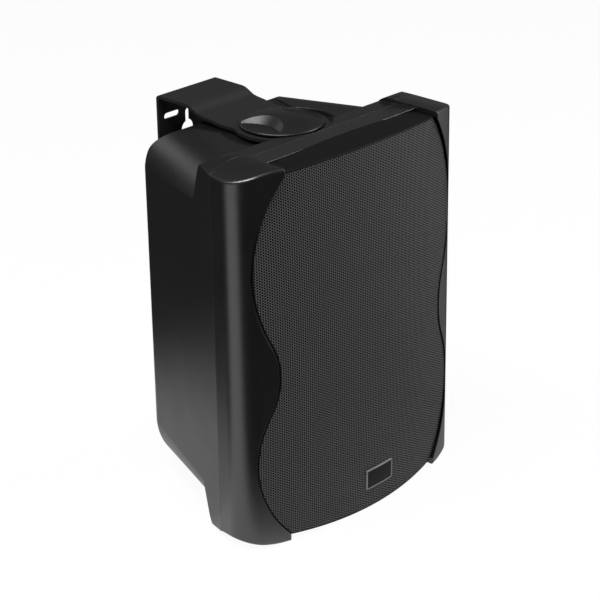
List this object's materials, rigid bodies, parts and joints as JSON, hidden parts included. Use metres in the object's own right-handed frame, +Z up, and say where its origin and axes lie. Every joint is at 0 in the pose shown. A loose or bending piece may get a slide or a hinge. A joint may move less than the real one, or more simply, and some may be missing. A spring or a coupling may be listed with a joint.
{
  "type": "wall loudspeaker",
  "caption": "Black two-way loudspeaker with a bowed wavy-edged grille, tapered cabinet and a swivelling L-shaped wall bracket clamped by a round knob.",
  "frame": {"origin": "where the bracket's swivel axis meets the base plane: the mouth of the lower threaded insert", "axes": "+Z up, front and grille towards -Y, wall plate towards +Y, +X to the right seen from the front"},
  "size_m": [0.2332, 0.2009, 0.3006],
  "materials": {
    "cabinet_plastic": "fine satin grain, black",
    "baffle_plastic": "satin black",
    "grille_steel": "powder coated black",
    "cloth": "black acoustic cloth",
    "badge_plastic": "bare dark plate",
    "bracket_steel": "matte black powder coat",
    "knob_plastic": "satin black",
    "rubber": "matte",
    "zinc_steel": "zinc plated",
    "black_steel": "black",
    "brass": "machined",
    "paper": "pressed paper, black",
    "treated_cloth": "resin treated cloth",
    "copper_coil": "enamelled copper on a former",
    "ferrite": "ferrite ring",
    "silk": "coated silk",
    "terminal_plastic": "black",
    "red_plastic": "red",
    "black_plastic": "black",
    "circuit_board": "bare laminate",
    "capacitor_film": "wrapped film",
    "ceramic": "ceramic block",
    "wadding": "polyester wadding"
  },
  "bodies": {
    "cabinet": {"rear_cabinet": "cabinet_plastic", "front_baffle": "baffle_plastic", "grille": "grille_steel", "grille_cloth": "cloth", "badge_plate": "badge_plastic", "friction_washer": "rubber", "pivot_insert": "brass", "lower_insert": "brass", "baffle_screws": "black_steel", "woofer_basket": "black_steel", "woofer_gasket": "rubber", "woofer_surround": "rubber", "spider": "treated_cloth", "top_plate": "zinc_steel", "magnet_ring": "ferrite", "t_yoke": "zinc_steel", "woofer_screws": "black_steel", "tweeter_faceplate": "black_plastic", "tweeter_motor": "ferrite", "tweeter_screws": "black_steel", "port_tube": "black_plastic", "terminal_cup": "terminal_plastic", "terminal_screws": "black_steel", "crossover_board": "circuit_board", "crossover_choke": "copper_coil", "crossover_capacitors": "capacitor_film", "crossover_resistor": "ceramic", "crossover_screws": "zinc_steel", "damping_pad": "wadding"},
    "bracket": {"wall_bracket": "bracket_steel"},
    "knob": {"swivel_knob": "knob_plastic", "knob_stud": "zinc_steel"},
    "woofer_motion": {"woofer_cone": "paper", "dust_cap": "paper", "voice_coil": "copper_coil"},
    "tweeter_motion": {"tweeter_dome": "silk"},
    "lever_plus": {"terminal_lever_plus": "red_plastic"},
    "lever_minus": {"terminal_lever_minus": "black_plastic"}
  },
  "joints": [
    {"name": "bracket_swivel", "type": "hinge", "parent": "cabinet", "child": "bracket", "pos_m": [0, 0, 0.29], "axis": [0, 0, 1], "range_deg": [-15, 15]},
    {"name": "knob_turn", "type": "hinge", "parent": "cabinet", "child": "knob", "pos_m": [0, 0, 0.295], "axis": [0, 0, 1], "continuous": true},
    {"name": "woofer_travel", "type": "slide", "parent": "cabinet", "child": "woofer_motion", "axis": [0, -1, 0], "range_m": [-0.004, 0.004], "stiffness_N_per_m": 1500, "deforming": ["woofer_surround", "spider"]},
    {"name": "tweeter_travel", "type": "slide", "parent": "cabinet", "child": "tweeter_motion", "axis": [0, -1, 0], "range_m": [-0.0004, 0.0004], "stiffness_N_per_m": 3000},
    {"name": "plus_lever_turn", "type": "hinge", "parent": "cabinet", "child": "lever_plus", "pos_m": [-0.012, 0.0709, 0.1205], "axis": [1, 0, 0], "range_deg": [0, 30], "stiffness_Nm_per_rad": 0.05},
    {"name": "minus_lever_turn", "type": "hinge", "parent": "cabinet", "child": "lever_minus", "pos_m": [0.012, 0.0709, 0.1205], "axis": [1, 0, 0], "range_deg": [0, 30], "stiffness_Nm_per_rad": 0.05}
  ]
}
